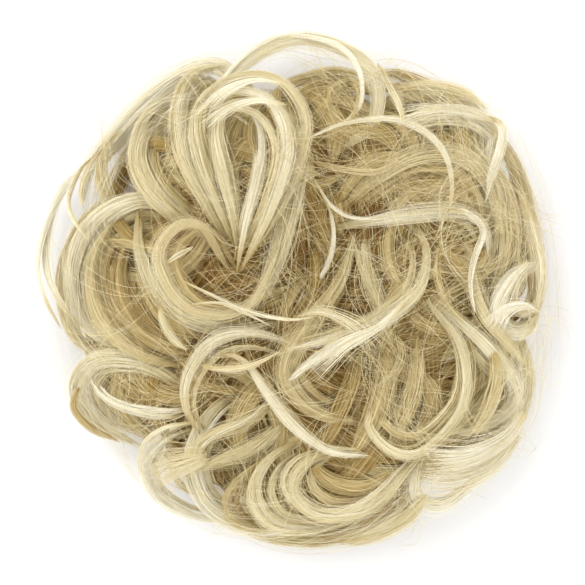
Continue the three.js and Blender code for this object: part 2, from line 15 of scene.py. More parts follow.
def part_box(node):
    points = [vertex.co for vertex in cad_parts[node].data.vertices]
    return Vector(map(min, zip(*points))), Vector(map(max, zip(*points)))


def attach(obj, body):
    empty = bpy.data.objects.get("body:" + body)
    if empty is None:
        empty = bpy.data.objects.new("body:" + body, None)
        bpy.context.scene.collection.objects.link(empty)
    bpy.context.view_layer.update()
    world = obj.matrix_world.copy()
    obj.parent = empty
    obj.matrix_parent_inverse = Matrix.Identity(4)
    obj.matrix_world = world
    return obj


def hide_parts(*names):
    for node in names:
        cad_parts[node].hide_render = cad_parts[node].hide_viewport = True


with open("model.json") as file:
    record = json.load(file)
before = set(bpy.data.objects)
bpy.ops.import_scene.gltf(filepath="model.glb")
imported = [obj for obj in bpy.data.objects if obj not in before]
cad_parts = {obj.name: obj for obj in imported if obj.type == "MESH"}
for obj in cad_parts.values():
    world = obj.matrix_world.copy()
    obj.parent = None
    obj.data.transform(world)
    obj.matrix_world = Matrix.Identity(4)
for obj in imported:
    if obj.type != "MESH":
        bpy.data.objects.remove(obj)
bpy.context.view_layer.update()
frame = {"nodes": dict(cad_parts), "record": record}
chance = np.random.default_rng(20)

MM = 0.001
TURN = 2 * math.pi
UP = Vector((0, 0, 1))
ABOVE_ALL = 0.2

# The hair as a whole, read off the solid model. Plan positions count from the middle of the elastic.
HAIR_RADIUS = 75 * MM
ring_low, ring_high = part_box("elastic_band")
MIDDLE = np.array([(ring_low.x + ring_high.x) / 2, (ring_low.y + ring_high.y) / 2, 0.0])
weft_low, weft_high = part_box("weft_ring")
WEFT_RADIUS = (weft_high.x - weft_low.x) / 2

# Under-hair stays this far off the table, and no corner of any fibre comes lower than the other height.
TABLE_GAP = 0.8 * MM
LOWEST_CORNER = 0.05 * MM

# A strand is a few fibres that cling together. A fine fibre is a single one that stands off its lock.
STRAND_WIDTH = 0.17 * MM
FINE_WIDTH = 0.07 * MM
STRANDS_PER_MM = 28
MOST_STRANDS = 180
FINE_PER_LOCK = 50
STATION_STEP = 3.4 * MM
CLUMP_WIDTH = 1.5 * MM
GRAIN_PER_METRE = 4200

# A curl's strands fill a share of its solid's section, by family, and less where the real curl is slimmer.
# The core fills a share of theirs. Where the solid ends in a point, root and tip keep a share of the full width.
SLIM = {"rim": 0.72, "side": 0.6, "crown": 0.5}
SLIMMER = {
    "crown_curl_11": 0.7, "crown_curl_13": 0.6, "rim_curl_04": 0.85, "rim_curl_07": 0.55, "side_curl_01": 0.6,
    "side_curl_12": 0.8, "side_curl_13": 0.75, "side_curl_21": 0.8,
}
CORE_SHARE = 0.52
CORE_SIDES = 8
LEAST_CORED = 1.3 * MM
ROOT_WIDTH = 0.3
FRAYED_TIP = 0.4
ROOT_SINK = 3.5 * MM
ROOT_REACH = 0.16

# Most curls hold one or two more inside their bend, of these scales, painted darker as shade. The open ones show
# what lies under them.
# Beside a curl runs a wisp, whose width is given in millimetres.
INNER_SCALES = {"rim": (0.84, 0.66), "side": (0.82,), "crown": (0.86,)}
OPEN_CURLS = ("rim_curl_03", "rim_curl_05", "rim_curl_11", "rim_curl_17", "crown_curl_11", "crown_curl_13")
OUTER_WIDTH = (1.2, 2.4)

# Locks that share a piece are drawn more coarsely than curls: their numbers of strands and fine fibres, the
# width of a strand and the length of a step along it.
UNDER_LOCK = {"strands": 56, "fine": 6, "width": 0.22 * MM, "step": 4.2 * MM}
SMALL_LOCK = {"fine": 8, "width": 0.18 * MM, "step": 3.8 * MM}
GAP_STRANDS = 80
INNER_STRANDS = 60
OUTER_STRANDS = 32

# Under-hair: locks down the flank, locks that swirl over the crown and arcs laid across both. Single strands
# cover its surface, its foot and the roof of the bun's hollow, and a felt of fine fibres lies on it.
CORE_SEGMENTS = 144
ROOF_SLOPES = (89, 70, 52, 36, 24)
WALL_GAP = 0.3 * MM
COVER_WIDTH = 0.52 * MM
FOOT_WIDTH = 0.44 * MM
ROOF_WIDTH = 0.48 * MM
FLANK_LOCKS = 40
CROWN_LOCKS = 24
UNDER_ARCS = 26
COVER_STRANDS = 2600
FOOT_STRANDS = 1100
ROOF_STRANDS = 420
FELT_FIBRES = 150

# Tones of hair, from the shaded depths to the palest lock. Each is a colour as seen on a screen.
HAIR_TONES = [
    (0.0, (132, 96, 42)),
    (0.3, (178, 150, 88)),
    (0.55, (208, 189, 134)),
    (0.8, (231, 219, 177)),
    (1.0, (246, 241, 220)),
]
# The tone of a curl goes by its slot, and some are paler or, below zero, darker. Roots run to one dark tone,
# painted shade of the hair's depths where they dive in.
SLOT_TONE = {"golden_hair": 0.4, "blond_hair": 0.66, "pale_hair": 0.88}
PALER = {
    "rim_curl_01": 0.1, "rim_curl_04": 0.14, "rim_curl_06": 0.1, "rim_curl_17": 0.08, "side_curl_08": 0.12,
    "side_curl_12": -0.16, "side_curl_13": -0.12, "side_curl_21": -0.1,
}
# Painted shade: the dark tone that roots run to.
ROOT_SHADE_TONE = 0.24

# The tables below give courses in plan, from root to tip, in hundredths of the hair's radius, and widths in
# millimetres. First the golden locks of under-hair that show between the curls: course, width and tone.
GAP_LOCKS = [
    ([(29, -16), (28, -32), (23, -48), (15, -62)], 7.5, 0.53),
    ([(39, -16), (39, -32), (35, -46), (28, -60)], 6.0, 0.58),
    ([(19, -20), (16, -34), (10, -48), (4, -60)], 6.0, 0.38),
    ([(56, -14), (57, -28), (54, -42), (47, -52)], 7.0, 0.53),
    ([(66, -20), (68, -32), (65, -44), (58, -53)], 4.5, 0.6),
    ([(44, 16), (53, 10), (60, 0), (62, -12)], 6.0, 0.43),
    ([(5, 50), (16, 58), (27, 56), (34, 47)], 6.0, 0.43),
    ([(10, 30), (18, 42), (30, 47), (42, 45)], 5.5, 0.53),
    ([(2, 16), (3, 2), (-2, -10), (-12, -16)], 6.0, 0.28),
    ([(-60, 14), (-58, 0), (-50, -12), (-38, -18)], 7.0, 0.48),
    ([(-74, 10), (-74, -6), (-66, -20), (-52, -27)], 6.0, 0.5),
    ([(-10, -30), (-20, -38), (-26, -50), (-24, -62)], 6.5, 0.43),
    ([(0, -62), (8, -70), (20, -72), (31, -66)], 5.0, 0.5),
    ([(-2, 74), (6, 66), (10, 56), (8, 44)], 6.0, 0.48),
    ([(44, 60), (54, 50), (58, 38), (56, 24)], 6.0, 0.53),
    ([(-16, 62), (-8, 75), (5, 81.5), (17, 81), (24, 70)], 4.5, 0.58),
    ([(-10, 58), (-3, 68), (5, 73), (12, 72)], 4.5, 0.48),
    ([(6, 62), (9, 73), (16, 78), (19, 71), (15, 60)], 2.5, 0.53),
]
# They lie this far over the under-hair, and farther if they reach out past a share of the hair's radius.
GAP_CLEARANCE = 1.6 * MM
OUTER_GAP_CLEARANCE = 7.0 * MM
OUTER_GAP_SHARE = 0.76

# Loose wisps, thinner than the curls of the solid model: course, width and tone.
WISPS = [
    ([(-80, 50), (-86.5, 42), (-88.5, 34), (-86, 26), (-80, 17)], 1.6, 0.75),
    ([(-76, 53), (-82, 44), (-83.5, 36), (-82, 29)], 1.4, 0.7),
    ([(25, 83), (29, 74), (32, 66), (33.5, 58)], 2.2, 0.8),
    ([(-47, 4), (-35, -2), (-22, -8), (-8, -11), (2, -10)], 1.0, 0.85),
    ([(-44, -6), (-32, -5), (-22, -9), (-12, -14)], 0.7, 0.85),
    ([(-51, 8.5), (-46, 12), (-41, 15)], 1.2, 0.85),
    ([(-53, -4), (-51.5, -12), (-48, -18), (-43, -22)], 2.2, 0.8),
    ([(-40, -27), (-30, -28.5), (-20, -27), (-10, -22)], 2.2, 0.7),
    ([(0, 45), (12, 43), (24, 42), (33, 46)], 1.8, 0.6),
    ([(1, 40), (8, 30), (16, 25.5), (28, 25)], 1.2, 0.9),
    ([(47, 16), (46, 6), (49, -4), (56, -12)], 2.0, 0.5),
    ([(31, -16), (33.5, -24), (30, -31), (24, -36)], 2.4, 0.6),
    ([(-84, -36), (-86, -44), (-80, -52), (-70, -57)], 3.0, 0.45),
    ([(10, -93), (24, -90), (36, -83), (44, -74)], 4.5, 0.7),
    ([(-40, -48), (-50, -49), (-59, -55), (-62, -64), (-59, -73)], 1.6, 0.85),
    ([(76, 36), (82, 20), (85, 4), (83, -10)], 3.0, 0.8),
    ([(30, 72), (44, 75), (57, 72), (66, 65)], 3.4, 0.75),
    ([(66, 63.5), (70.5, 59), (69, 50), (65.5, 40), (63.5, 31)], 2.8, 1.0),
    ([(45, 29), (56, 27), (62.5, 21), (60, 12), (58, 2), (60, -10)], 2.0, 0.95),
]

# Fans, where a lock's end frays out: course, widths of the gathered end and the frayed one, tone and fibres.
FANS = [
    ([(79, -45), (72, -55), (58, -61), (40, -62)], (2.5, 13), 0.95, 130),
    ([(78, -54), (68, -65), (54, -70), (41, -70)], (2.5, 9), 0.85, 90),
    ([(-36, -60), (-43, -62), (-51, -65), (-58, -70)], (5, 12), 0.75, 110),
    ([(68, 61), (56, 64), (44, 64), (32, 61)], (0.8, 7), 0.95, 60),
    ([(36, -2), (25, -13), (12, -20), (-1, -31)], (0.8, 8), 0.95, 60),
    ([(85, -9), (78, -6), (71, -8), (65, -15)], (1, 7), 1.0, 60),
    ([(80, 10), (74, 4), (69, -4), (67, -14)], (1.5, 6), 1.0, 60),
    ([(-5, -10), (5, -8), (16, -13), (24, -22)], (0.8, 6), 0.8, 36),
    ([(-8, 73), (-19, 74.5), (-29, 71), (-36, 65)], (0.8, 5), 1.0, 40),
    ([(-8, 65), (-20, 66.5), (-30, 63.5), (-38, 57)], (0.8, 5), 0.95, 36),
]
FAN_FIBRE_WIDTH = 0.12 * MM

# Loose fibres lie in sheaves that part as they run: how many sheaves there are and fibres in each, a middle
# and how far from it they lie, as shares of the hair's radius, their lengths, the radii of their bends, the
# spread of a sheaf, the width of a fibre and their tones.
SHEAVES = {
    "crown_flyaways": (90, 5, (0.18, 0.06), (0.0, 0.5), (25, 65), (14, 45), 3.5, 0.06, (0.45, 0.85)),
    "flank_flyaways": (120, 6, (0.0, 0.0), (0.4, 0.86), (20, 55), (12, 36), 3.0, 0.07, (0.45, 0.85)),
    "rim_flyaways": (110, 6, (0.0, 0.0), (0.78, 0.95), (14, 36), (25, 70), 2.6, 0.05, (0.75, 1.0)),
}
FARTHEST_FIBRE = 77 * MM


def unit(vectors):
    return vectors / np.maximum(np.linalg.norm(vectors, axis=-1, keepdims=True), 1e-12)


def even(low, high, count):
    """A column of evenly spread random values, one for each fibre."""
    return chance.uniform(low, high, (count, 1))


def about(mean, deviation, count):
    """A column of random values about a mean, one for each fibre."""
    return chance.normal(mean, deviation, (count, 1))


def bearings(count):
    """Angles all the way round, count of them."""
    return TURN * np.arange(count) / count


def circle(angle):
    """Directions in plan at some angles."""
    return np.stack([np.cos(angle), np.sin(angle)], axis=-1)


def at_height(plan, height):
    """Plan positions with a height each."""
    return np.concatenate([plan, height[..., None]], axis=-1)


def around(values, bearing):
    """Values given at bearings all the way round, read at any others."""
    return np.interp(bearing, bearings(len(values)), values, period=TURN)


def strips(count):
    """Equal strips of the bake map, one for each lock of a piece."""
    edges = np.linspace(0, 1, count + 1)
    return zip(edges, edges[1:])


def on_plan(course):
    """A course from one of the tables, as plan positions in the frame."""
    return MIDDLE[:2] + np.array(course) / 100 * HAIR_RADIUS


def through(points, count):
    """Points on a smooth curve through the given rows, count of them."""
    points = np.asarray(points, float)
    place = np.linspace(0, len(points) - 1, count)
    row = np.clip(place.astype(int), 0, len(points) - 2)
    part = (place - row)[:, None]
    padded = np.vstack([2 * points[0] - points[1], points, 2 * points[-1] - points[-2]])
    a, b, c, d = (padded[row + k] for k in range(4))
    return 0.5 * (
        2 * b + (c - a) * part + (2 * a - 5 * b + 4 * c - d) * part**2 + (3 * b - a - 3 * c + d) * part**3
    )


def blurred(values, reach, pick=np.mean):
    """Each value of some rows replaced by the mean, or the greatest, of its neighbours in the row."""
    padded = np.pad(values, [(0, 0)] * (values.ndim - 1) + [(reach, reach)], mode="edge")
    windows = np.lib.stride_tricks.sliding_window_view(padded, 2 * reach + 1, axis=-1)
    return pick(windows, axis=-1)


def bridged(ground, reach=3):
    """Heights along courses, which span the hollows of the ground as stiff hair does."""
    return blurred(blurred(ground, reach, np.max), 3)


class Lock:
    """The course of a lock: its middle line, the directions across and over it, and its half sizes."""

    def __init__(self, middle, side, half, thick, slim=0.9):
        self.slim = slim
        self.middle = middle
        ahead = unit(np.gradient(middle, axis=0))
        self.side = unit(side - ahead * np.sum(side * ahead, axis=1, keepdims=True))
        self.over = np.cross(ahead, self.side)
        self.half = half
        self.thick = thick

    def length(self):
        return float(np.linalg.norm(np.diff(self.middle, axis=0), axis=1).sum())

    def at(self, places):
        """Middle, side, over, half and thick at places from 0 to 1, of any shape."""
        stations = np.linspace(0, 1, len(self.middle))
        table = np.column_stack([self.middle, self.side, self.over, self.half, self.thick])
        read = np.stack([np.interp(places, stations, column) for column in table.T], axis=-1)
        return np.split(read, [3, 6, 9, 10], axis=-1)


def lock_of_node(node):
    """Reads a curl of the solid model: from one pointed end, its corners lie in rings, one step of edges
    apart. The end nearer the weft, where hair is sewn on, comes first as the root."""
    mesh = node.data
    places = np.array([v.co for v in mesh.vertices], float)
    keys = [tuple(p) for p in np.round(places / (0.002 * MM)).astype(int)]
    number = {key: i for i, key in enumerate(dict.fromkeys(keys))}
    corners = np.zeros((len(number), 3))
    for key, place in zip(keys, places):
        corners[number[key]] = place
    near = [set() for _ in number]
    for a, b in (edge.vertices for edge in mesh.edges):
        first, second = number[keys[a]], number[keys[b]]
        if first != second:
            near[first].add(second)
            near[second].add(first)

    def levels(start):
        seen, found = {start}, [[start]]
        while True:
            following = {n for i in found[-1] for n in near[i]} - seen
            if not following:
                return found
            seen |= following
            found.append(sorted(following))

    end = levels(levels(0)[-1][0])[-1][0]
    rings = levels(end)
    middle = np.array([corners[ring].mean(axis=0) for ring in rings])
    ahead = unit(np.gradient(middle, axis=0))
    rows = []
    for ring, forward in zip(rings[1:-1], ahead[1:-1]):
        spokes = corners[ring]
        gaps = np.linalg.norm(spokes[:, None] - spokes[None], axis=2)
        i, j = np.unravel_index(gaps.argmax(), gaps.shape)
        across = (spokes[i] - spokes[j]) / gaps[i, j]
        if np.cross(forward, across)[2] < 0:
            across = -across
        rise = np.abs((spokes - spokes.mean(axis=0)) @ np.cross(forward, across)).max()
        rows.append([*across, gaps[i, j] / 2, rise / math.sin(math.pi / 3)])
    rows = np.array([[*rows[0][:3], 0, 0], *rows, [*rows[-1][:3], 0, 0]])
    smooth = through(np.column_stack([middle, rows]), 60)
    from_ring = np.abs(np.linalg.norm(smooth[[0, -1], :2] - MIDDLE[:2], axis=1) - WEFT_RADIUS)
    if from_ring[0] > from_ring[1]:
        smooth = smooth[::-1]
        smooth[:, 3:6] = -smooth[:, 3:6]
    return Lock(smooth[:, :3], smooth[:, 3:6], np.maximum(smooth[:, 6], 0), np.maximum(smooth[:, 7], 0))


def placed(name, data, place=(0, 0, 0)):
    """A new object of the scene."""
    made = bpy.data.objects.new(name, data)
    made.location = place
    bpy.context.scene.collection.objects.link(made)
    return made


def make_piece(name, corners, faces, maps, slot, nodes):
    """Adds a smooth mesh as a piece of the frame. maps holds the places of its faces' corners, by layer."""
    mesh = bpy.data.meshes.new(name)
    mesh.from_pydata(corners.tolist(), [], faces)
    for layer, places in maps.items():
        mesh.uv_layers.new(name=layer).data.foreach_set("uv", places.ravel())
    mesh.polygons.foreach_set("use_smooth", np.ones(len(mesh.polygons), bool))
    mesh.materials.append(materials[slot])
    piece = placed(name, mesh)
    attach(piece, "root")
    if nodes:
        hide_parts(*nodes)
    return mesh


class Fibres:
    """Collects closed tubes and flat ribbons of hair, and makes one piece of them."""

    # What stays free at the sides and at the ends of a fibre's own part of the bake map, as shares of it.
    SIDE_MARGIN = 0.03
    END_MARGIN = 0.01

    def __init__(self):
        self.corners, self.tones, self.faces = [], [], []
        self.bake, self.grain = [], []
        self.count = 0

    def add(self, rings, tones, strip=(0.0, 1.0), grain=1.0, length=0.04):
        """Adds tubes or, where a ring has two corners, ribbons. rings holds corners [fibre, station, side,
        xyz], tones one value a station. strip is their part of the bake map's width, grain how many fibres
        go round one, and length how long they are."""
        count, stations, corners = rings.shape[:3]
        number = self.count + np.arange(count * stations * corners).reshape(count, stations, corners)
        closed = corners > 2
        sides = corners if closed else 1
        start = chance.uniform(0, 500, (count, 1, 1, 1))

        def map_corners(faces, station, side):
            """Keeps some faces, with the places of their corners on the bake map and in the grain."""
            self.faces += faces.reshape(-1, faces.shape[-1]).tolist()
            begin = start.reshape((count,) + (1,) * (faces.ndim - 1))
            fibre = np.arange(count).reshape(begin.shape)
            share = (fibre + self.SIDE_MARGIN + (1 - 2 * self.SIDE_MARGIN) * side / sides) / count
            across = strip[0] + (strip[1] - strip[0]) * share
            along = station / (stations - 1)
            bake = (across, self.END_MARGIN + (1 - 2 * self.END_MARGIN) * along)
            fine = (begin + grain * side / sides, length * along)
            for kept, pair in ((self.bake, bake), (self.grain, fine)):
                places = [np.broadcast_to(values, faces.shape) for values in pair]
                kept.append(np.stack(places, axis=-1).reshape(-1, 2))

        here, onward = (number, np.roll(number, -1, axis=2)) if closed else (number[..., :1], number[..., 1:])
        quads = np.stack([here[:, :-1], onward[:, :-1], onward[:, 1:], here[:, 1:]], axis=-1)
        station = np.arange(stations - 1)[:, None, None] + np.array([0, 0, 1, 1])
        map_corners(quads, station, np.arange(sides)[:, None] + np.array([0, 1, 1, 0]))
        if closed:
            caps = np.stack([number[:, 0, ::-1], number[:, -1]], axis=1)
            station = np.array([[0], [stations - 1]])
            map_corners(caps, station, np.stack([np.arange(sides)[::-1], np.arange(sides)]))

        places = rings.reshape(-1, 3).copy()
        places[:, 2] = np.maximum(places[:, 2], LOWEST_CORNER)
        self.corners.append(places)
        self.tones.append(np.repeat(tones[:, :, None], corners, axis=2).ravel())
        self.count += number.size

    def add_ribbons(self, paths, facing, width, tones, strip=(0.0, 1.0), length=0.04):
        """Adds ribbons along paths [fibre, station, xyz] that face a given way. Each is turned a little about
        its own course, and narrows towards both ends."""
        count, stations = paths.shape[:2]
        shape = 0.25 + 0.75 * np.sin(np.pi * np.clip(np.linspace(0, 1, stations), 0.02, 0.98)) ** 0.5
        half_widths = width / 2 * shape * even(0.65, 1.4, count)
        ahead = unit(np.gradient(paths, axis=1))
        across = unit(np.cross(ahead, facing))
        upward = np.cross(across, ahead)
        tilt = about(0, 0.35, count)[..., None]
        reach = (across * np.cos(tilt) + upward * np.sin(tilt)) * half_widths[..., None]
        rings = np.stack([paths - reach, paths + reach], axis=2)
        self.add(rings, tones * np.ones(stations), strip, 1.0, length)

    def piece(self, name, slot, nodes=()):
        maps = {"OFBake": np.concatenate(self.bake), "grain": np.concatenate(self.grain)}
        mesh = make_piece(name, np.concatenate(self.corners), self.faces, maps, slot, nodes)
        tone = mesh.attributes.new("tone", "FLOAT", "POINT")
        tone.data.foreach_set("value", np.clip(np.concatenate(self.tones), 0, 1))


class Clumps:
    """The smaller locks that a lock is combed into, and how they wander across it and over each other."""

    def __init__(self, count):
        self.count = count
        self.base = 0.66 * (2 * (np.arange(count) + 0.5) / count - 1) + chance.normal(0, 0.06, count)
        self.sway = chance.uniform((0.5, 0), (1.3, 1), (count, 2))
        self.lift = chance.uniform((0.4, 0), (1.2, 1), (count, 2))
        self.tone = chance.normal(0, 0.03, count)

    def centre(self, which, along):
        """Places across and over the lock, as shares of its half sizes, of the clumps named."""
        sway, lift = self.sway[which][..., None], self.lift[which][..., None]
        across = self.base[which][:, None] + 0.2 * np.sin(TURN * (sway[:, 0] * along + sway[:, 1]))
        over = 0.3 * np.sin(TURN * (lift[:, 0] * along + lift[:, 1]))
        return across, over


def section_at(lock, along):
    """A lock's middle, which sinks into the hair at its root, and its directions across and over, as long as
    the half sizes of its strands there."""
    middle, side, over, half, thick = lock.at(along)
    sunk = ROOT_SINK * np.clip(1 - along / ROOT_REACH, 0, 1) ** 1.6
    middle = middle - sunk[..., None] * np.array(UP)
    late = (along > 0.5)[..., None]
    half = np.maximum(half, np.where(late, FRAYED_TIP, ROOT_WIDTH) * lock.half.max())
    thick = np.where(late, np.maximum(thick, 0.6 * FRAYED_TIP * lock.thick.max()), thick)
    return middle, lock.slim * side * half, lock.slim * over * thick


def core_rings(lock, stations):
    """The closed core of a lock, pointed at both ends and grooved along its length as bundled fibres are."""
    along = np.linspace(0.01, 0.95, stations)
    angle = bearings(CORE_SIDES)
    middle, side, over = section_at(lock, along)
    ends = np.clip(along / 0.12, 0.05, 1) * np.clip((0.97 - along) / 0.3, 0.03, 1) ** 0.7
    groove = np.zeros((stations, CORE_SIDES))
    for waves, depth in ((2, 0.04), (3, 0.05), (5, 0.05)):
        turn = chance.normal(0, 1.4) * along[:, None] + chance.uniform(0, TURN)
        groove += depth * np.cos(waves * angle + turn)
    reach = (CORE_SHARE * ends[:, None] * (1 + groove))[..., None]
    out = side[:, None] * np.cos(angle)[:, None] * reach
    up = over[:, None] * np.sin(angle)[:, None] * reach
    return (middle[:, None] + out + up)[None]


def root_shaded(tone, along, root=ROOT_SHADE_TONE):
    """Tones along a lock, which run to another one at its root: painted shade of the depth of the hair, where
    the root dives under other locks.
    """
    depth = 0.75 * np.clip(1 - along / 0.3, 0, 1) ** 1.4
    return tone * (1 - depth) + root * depth


def strand_paths(lock, clumps, count, stations):
    """Strands that lie round the core, draw together in clumps towards the tip and end one by one: their
    paths, the way each faces, the stations along the lock and the clump of each."""
    which = np.arange(count) % clumps.count
    first, last = even(0, 0.16, count), even(0.8, 1.0, count)
    along = first + (last - first) * np.linspace(0, 1, stations)
    wave = even(0, TURN, count)
    angle = even(0, TURN, count) + about(0, 0.7, count) * along
    angle = angle + 0.15 * np.sin(TURN * even(0.6, 1.6, count) * along + wave)
    depth = 0.6 + np.abs(about(0.2, 0.22, count))
    across, raised = clumps.centre(which, along)
    gathered = 0.2 + 0.45 * np.clip((along - 0.62) / 0.38, 0, 1) ** 1.5
    across = across * gathered + depth * np.cos(angle) * (1 - 0.7 * gathered)
    raised = raised * gathered + depth * np.sin(angle) * (1 - 0.5 * gathered)
    middle, side, over = section_at(lock, along)
    offset = side * across[..., None] + over * raised[..., None]
    return middle + offset, 0.8 * unit(offset) + unit(over), along, which


def fine_paths(lock, count, stations):
    """Single fibres that stand a little off a lock and leave its course for a while."""
    first, last = even(0, 0.3, count), even(0.7, 1.0, count)
    share = np.linspace(0, 1, stations)
    along = first + (last - first) * share
    angle = even(0, TURN, count) + about(0, 0.9, count) * along
    bulge = np.sin(np.pi * share) ** 2 * even(0, 1.1, count) ** 2
    astray = np.clip((along - 0.7) / 0.3, 0, 1) ** 2 * even(0, 1.1, count)
    depth = 1.0 + bulge + astray
    middle, side, over = section_at(lock, along)
    offset = side * (depth * np.cos(angle))[..., None] + over * (depth * np.sin(angle))[..., None]
    return middle + offset, 0.5 * unit(offset) + unit(over), along


def dress_lock(
    hair, lock, tone, strands, fine, strip=(0.0, 1.0), width=STRAND_WIDTH, step=STATION_STEP, root=ROOT_SHADE_TONE
):
    """Adds a lock's core, unless it is a thin wisp, its strands and the fine fibres about it."""
    length = lock.length()
    stations = int(np.clip(length / step, 10, 34))
    clumps = Clumps(int(np.clip(round(2 * lock.slim * lock.half.max() / CLUMP_WIDTH), 2, 5)))
    edges = strip[0] + (strip[1] - strip[0]) * np.array([0, 0.3, 0.85, 1.0])
    if lock.half.max() > LEAST_CORED:
        girth = TURN * math.sqrt((lock.half.max() ** 2 + lock.thick.max() ** 2) / 2)
        # Painted shade: the core is a little darker than its strands, as the shade between them.
        tones = root_shaded(tone - 0.06, np.linspace(0, 1, stations), root)[None]
        hair.add(core_rings(lock, stations), tones, edges[:2], max(4, round(girth * GRAIN_PER_METRE)), length)
    paths, facing, along, which = strand_paths(lock, clumps, strands, stations)
    # Painted shade: strands and fine fibres darken towards the root, unless root is given as the lock's own
    # tone.
    tones = root_shaded(tone + clumps.tone[which][:, None] + about(0, 0.07, strands), along, root)
    hair.add_ribbons(paths, facing, width, tones, edges[1:3], length)
    paths, facing, along = fine_paths(lock, fine, stations)
    tones = root_shaded(tone + about(0.05, 0.09, fine), along, root)
    hair.add_ribbons(paths, facing, FINE_WIDTH, tones, edges[2:], length)


def linear(colour):
    """A screen colour of 0 to 255 as the shader's own linear values."""
    shares = [c / 255 for c in colour]
    return [s / 12.92 if s <= 0.04045 else ((s + 0.055) / 1.055) ** 2.4 for s in shares] + [1.0]


def node(tree, kind, inputs, output=0, **settings):
    """Adds a shader node whose inputs take values or other nodes' outputs, and gives one of its outputs."""
    made = tree.nodes.new(kind)
    for name, value in settings.items():
        setattr(made, name, value)
    for name, value in inputs.items():
        if isinstance(value, bpy.types.NodeSocket):
            tree.links.new(value, made.inputs[name])
        else:
            made.inputs[name].default_value = value
    return made.outputs[output]


def grain_of(tree, scale):
    """Where a point lies in the grain, round a fibre and along it, scaled: the input of a texture."""
    grain = node(tree, "ShaderNodeUVMap", {}, uv_map="grain")
    return {"Vector": node(tree, "ShaderNodeMapping", {"Vector": grain, "Scale": scale})}


def ramp(tree, value, stops):
    """Colours looked up by a value, from stops that each have a place and a screen colour."""
    made = tree.nodes.new("ShaderNodeValToRGB")
    tree.links.new(value, made.inputs["Fac"])
    elements = made.color_ramp.elements
    while len(elements) < len(stops):
        elements.new(0.5)
    for element, (place, colour) in zip(elements, stops):
        element.position = place
        element.color = linear(colour)
    return made.outputs["Color"]


def new_material(name, build):
    """A material with one surface, whose inputs are made in its tree by a function."""
    material = bpy.data.materials.new(name)
    material.use_nodes = True
    tree = material.node_tree
    tree.nodes.clear()
    shader = node(tree, "ShaderNodeBsdfPrincipled", build(tree))
    tree.links.new(shader, tree.nodes.new("ShaderNodeOutputMaterial").inputs["Surface"])
    return material


def hair_material(name, roughness=0.4, shine=0.5):
    """Hair: the tone of each fibre, streaked along its length, with fine grooves."""
    streak = 0.4

    def build(tree):
        tone = node(tree, "ShaderNodeAttribute", {}, "Fac", attribute_name="tone")
        grain = grain_of(tree, (1.0, 55.0, 1.0))
        fine = node(tree, "ShaderNodeTexNoise", {**grain, "Scale": 0.9, "Detail": 2.0}, "Fac")
        broad = node(tree, "ShaderNodeTexNoise", {**grain, "Scale": 0.14, "Detail": 1.0}, "Fac")
        both = node(tree, "ShaderNodeMath", {0: fine, 1: broad}, operation="ADD")
        swing = node(tree, "ShaderNodeMath", {0: both, 1: streak, 2: -streak}, operation="MULTIPLY_ADD")
        total = node(tree, "ShaderNodeMath", {0: tone, 1: swing}, operation="ADD")
        rough = {"To Min": roughness - 0.08, "To Max": roughness + 0.12}
        return {
            "Base Color": ramp(tree, total, HAIR_TONES),
            "Roughness": node(tree, "ShaderNodeMapRange", {"Value": fine, **rough}),
            "Normal": node(tree, "ShaderNodeBump", {"Height": fine, "Strength": 0.2, "Distance": 0.15 * MM}),
            "Specular IOR Level": shine,
        }

    return new_material(name, build)


def thread_material(name, dark, light, scale):
    """Covered elastic and sewing thread: a matt weave of two colours round and along."""

    def build(tree):
        grain = grain_of(tree, scale)
        bands = {"wave_type": "BANDS", "bands_direction": "DIAGONAL"}
        weave = node(tree, "ShaderNodeTexWave", {**grain, "Scale": 1.0, "Distortion": 1.2}, "Fac", **bands)
        fluff = node(tree, "ShaderNodeTexNoise", {**grain, "Scale": 6.0, "Detail": 4.0}, "Fac")
        mix = node(tree, "ShaderNodeMath", {0: weave, 1: fluff}, operation="MULTIPLY")
        return {
            "Base Color": ramp(tree, mix, [(0.0, dark), (0.6, light)]),
            "Roughness": 0.75,
            "Normal": node(tree, "ShaderNodeBump", {"Height": mix, "Strength": 0.6, "Distance": 0.2 * MM}),
            "Sheen Weight": 0.25,
        }

    return new_material(name, build)


materials = {name: hair_material(name) for name in SLOT_TONE}
materials["under_hair"] = hair_material("under_hair", roughness=0.55, shine=0.2)
materials["elastic_cover"] = thread_material("elastic_cover", (120, 96, 58), (196, 170, 118), (1500, 1500, 1))
materials["weft"] = thread_material("weft_thread", (112, 88, 44), (196, 166, 104), (2200, 900, 1))


def tree_of(nodes):
    """A search tree over the faces of some nodes of the solid model."""
    corners, faces = [], []
    for one in nodes:
        start = len(corners)
        corners += [v.co.copy() for v in one.data.vertices]
        faces += [[start + i for i in face.vertices] for face in one.data.polygons]
    return BVHTree.FromPolygons(corners, faces)


class HeightMap:
    """Heights of the top of some nodes over the plan, zero outside them."""

    CELL = 1.0 * MM
    REACH = 88 * MM

    def __init__(self, nodes):
        search = tree_of(nodes)
        self.count = int(2 * self.REACH / self.CELL)
        places = (np.arange(self.count) + 0.5) * self.CELL - self.REACH
        self.heights = np.zeros((self.count, self.count))
        for row, column in np.ndindex(self.heights.shape):
            hit = search.ray_cast(Vector((places[column], places[row], ABOVE_ALL)), -UP)[0]
            if hit is not None:
                self.heights[row, column] = hit.z

    def soften(self, reach):
        """Fills hollows narrower than reach cells, and rounds the rest."""
        for cells in (reach, max(1, reach // 2)):
            for pick in (np.max, np.mean):
                self.heights = blurred(blurred(self.heights.T, cells, pick).T, cells, pick)
        return self

    def at(self, x, y):
        column = np.clip((x + self.REACH) / self.CELL - 0.5, 0, self.count - 1.001)
        row = np.clip((y + self.REACH) / self.CELL - 0.5, 0, self.count - 1.001)
        i, j = row.astype(int), column.astype(int)
        u, v = row - i, column - j
        h = self.heights
        low = h[i, j] * (1 - v) + h[i, j + 1] * v
        high = h[i + 1, j] * (1 - v) + h[i + 1, j + 1] * v
        return low * (1 - u) + high * u


